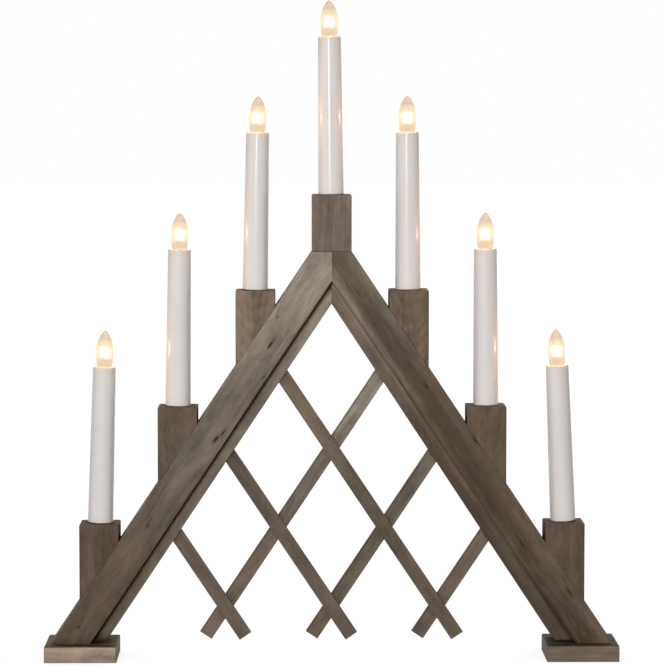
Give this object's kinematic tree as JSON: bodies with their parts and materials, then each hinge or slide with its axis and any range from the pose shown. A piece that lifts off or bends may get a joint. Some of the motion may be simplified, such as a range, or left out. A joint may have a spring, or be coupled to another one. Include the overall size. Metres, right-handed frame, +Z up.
{
  "type": "candle arch",
  "caption": "Wooden A-shaped candle arch on square feet, with a lattice between its legs and upright electric candles with screw-in flame bulbs on square blocks.",
  "frame": {"origin": "on the ground, midway between the two feet", "axes": "+Z up, +X to the right seen from the front, -Y to the front"},
  "size_m": [0.493, 0.062, 0.5655],
  "materials": {
    "stained_wood": "grey-brown stain",
    "strip_wood": "grey-brown stain",
    "dowel_wood": "bare beech",
    "white_plastic": "glossy, slightly translucent",
    "clear_glass": "clear",
    "glowing_filament": "white hot",
    "brass": "plain",
    "solder": "dull",
    "zinc_steel": "zinc plated",
    "wire_sleeve": "matt insulation",
    "grommet_rubber": "matt"
  },
  "bodies": {
    "arch": {"left_foot": "stained_wood", "right_foot": "stained_wood", "left_front_rafter": "stained_wood", "left_rear_rafter": "stained_wood", "right_front_rafter": "stained_wood", "right_rear_rafter": "stained_wood", "candle_block_left_low": "stained_wood", "candle_block_left_mid": "stained_wood", "candle_block_left_high": "stained_wood", "candle_block_centre": "stained_wood", "candle_block_right_high": "stained_wood", "candle_block_right_mid": "stained_wood", "candle_block_right_low": "stained_wood", "lattice_strip_left_long": "strip_wood", "lattice_strip_left_middle": "strip_wood", "lattice_strip_left_short": "strip_wood", "lattice_strip_right_long": "strip_wood", "lattice_strip_right_middle": "strip_wood", "lattice_strip_right_short": "strip_wood", "candle_tube_left_low": "white_plastic", "candle_tube_left_mid": "white_plastic", "candle_tube_left_high": "white_plastic", "candle_tube_centre": "white_plastic", "candle_tube_right_high": "white_plastic", "candle_tube_right_mid": "white_plastic", "candle_tube_right_low": "white_plastic", "lampholder_contacts": "brass", "foot_screws": "zinc_steel", "lattice_pins": "zinc_steel", "block_dowels": "dowel_wood", "wiring_loom": "wire_sleeve", "cord_grommet": "grommet_rubber"},
    "contact_left_low": {"bulb_contact_left_low": "solder"},
    "bulb_left_low": {"bulb_glass_left_low": "clear_glass", "bulb_cap_left_low": "brass", "bulb_filament_left_low": "glowing_filament"},
    "contact_left_mid": {"bulb_contact_left_mid": "solder"},
    "bulb_left_mid": {"bulb_glass_left_mid": "clear_glass", "bulb_cap_left_mid": "brass", "bulb_filament_left_mid": "glowing_filament"},
    "contact_left_high": {"bulb_contact_left_high": "solder"},
    "bulb_left_high": {"bulb_glass_left_high": "clear_glass", "bulb_cap_left_high": "brass", "bulb_filament_left_high": "glowing_filament"},
    "contact_centre": {"bulb_contact_centre": "solder"},
    "bulb_centre": {"bulb_glass_centre": "clear_glass", "bulb_cap_centre": "brass", "bulb_filament_centre": "glowing_filament"},
    "contact_right_high": {"bulb_contact_right_high": "solder"},
    "bulb_right_high": {"bulb_glass_right_high": "clear_glass", "bulb_cap_right_high": "brass", "bulb_filament_right_high": "glowing_filament"},
    "contact_right_mid": {"bulb_contact_right_mid": "solder"},
    "bulb_right_mid": {"bulb_glass_right_mid": "clear_glass", "bulb_cap_right_mid": "brass", "bulb_filament_right_mid": "glowing_filament"},
    "contact_right_low": {"bulb_contact_right_low": "solder"},
    "bulb_right_low": {"bulb_glass_right_low": "clear_glass", "bulb_cap_right_low": "brass", "bulb_filament_right_low": "glowing_filament"}
  },
  "joints": [
    {"name": "bulb_left_low_rise", "type": "slide", "parent": "arch", "child": "contact_left_low", "axis": [0.0304, 0, 0.9995], "range_m": [0, 0.00545]},
    {"name": "bulb_left_low_turn", "type": "hinge", "parent": "contact_left_low", "child": "bulb_left_low", "pos_m": [-0.19526, 0, 0.24712], "axis": [0.0304, 0, 0.9995], "range_deg": [0, 1080]},
    {"name": "bulb_left_mid_rise", "type": "slide", "parent": "arch", "child": "contact_left_mid", "axis": [0.0131, 0, 0.9999], "range_m": [0, 0.00545]},
    {"name": "bulb_left_mid_turn", "type": "hinge", "parent": "contact_left_mid", "child": "bulb_left_mid", "pos_m": [-0.1303, 0, 0.34799], "axis": [0.0131, 0, 0.9999], "range_deg": [0, 1080]},
    {"name": "bulb_left_high_rise", "type": "slide", "parent": "arch", "child": "contact_left_high", "axis": [0.0173, 0, 0.9999], "range_m": [0, 0.00545]},
    {"name": "bulb_left_high_turn", "type": "hinge", "parent": "contact_left_high", "child": "bulb_left_high", "pos_m": [-0.06326, 0, 0.44772], "axis": [0.0173, 0, 0.9999], "range_deg": [0, 1080]},
    {"name": "bulb_centre_rise", "type": "slide", "parent": "arch", "child": "contact_centre", "axis": [-0.0094, 0, 1], "range_m": [0, 0.00545]},
    {"name": "bulb_centre_turn", "type": "hinge", "parent": "contact_centre", "child": "bulb_centre", "pos_m": [-0.00172, 0, 0.52946], "axis": [-0.0094, 0, 1], "range_deg": [0, 1080]},
    {"name": "bulb_right_high_rise", "type": "slide", "parent": "arch", "child": "contact_right_high", "axis": [-0.0051, 0, 1], "range_m": [0, 0.00545]},
    {"name": "bulb_right_high_turn", "type": "hinge", "parent": "contact_right_high", "child": "bulb_right_high", "pos_m": [0.06484, 0, 0.44802], "axis": [-0.0051, 0, 1], "range_deg": [0, 1080]},
    {"name": "bulb_right_mid_rise", "type": "slide", "parent": "arch", "child": "contact_right_mid", "axis": [-0.0052, 0, 1], "range_m": [0, 0.00545]},
    {"name": "bulb_right_mid_turn", "type": "hinge", "parent": "contact_right_mid", "child": "bulb_right_mid", "pos_m": [0.13202, 0, 0.34837], "axis": [-0.0052, 0, 1], "range_deg": [0, 1080]},
    {"name": "bulb_right_low_rise", "type": "slide", "parent": "arch", "child": "contact_right_low", "axis": [-0.0424, 0, 0.9991], "range_m": [0, 0.00545]},
    {"name": "bulb_right_low_turn", "type": "hinge", "parent": "contact_right_low", "child": "bulb_right_low", "pos_m": [0.19431, 0, 0.24793], "axis": [-0.0424, 0, 0.9991], "range_deg": [0, 1080]}
  ],
  "couplings": [
    {"joint": "bulb_left_low_rise", "follows": "bulb_left_low_turn", "m_per_rad": 0.00028875},
    {"joint": "bulb_left_mid_rise", "follows": "bulb_left_mid_turn", "m_per_rad": 0.00028875},
    {"joint": "bulb_left_high_rise", "follows": "bulb_left_high_turn", "m_per_rad": 0.00028875},
    {"joint": "bulb_centre_rise", "follows": "bulb_centre_turn", "m_per_rad": 0.00028875},
    {"joint": "bulb_right_high_rise", "follows": "bulb_right_high_turn", "m_per_rad": 0.00028875},
    {"joint": "bulb_right_mid_rise", "follows": "bulb_right_mid_turn", "m_per_rad": 0.00028875},
    {"joint": "bulb_right_low_rise", "follows": "bulb_right_low_turn", "m_per_rad": 0.00028875}
  ]
}
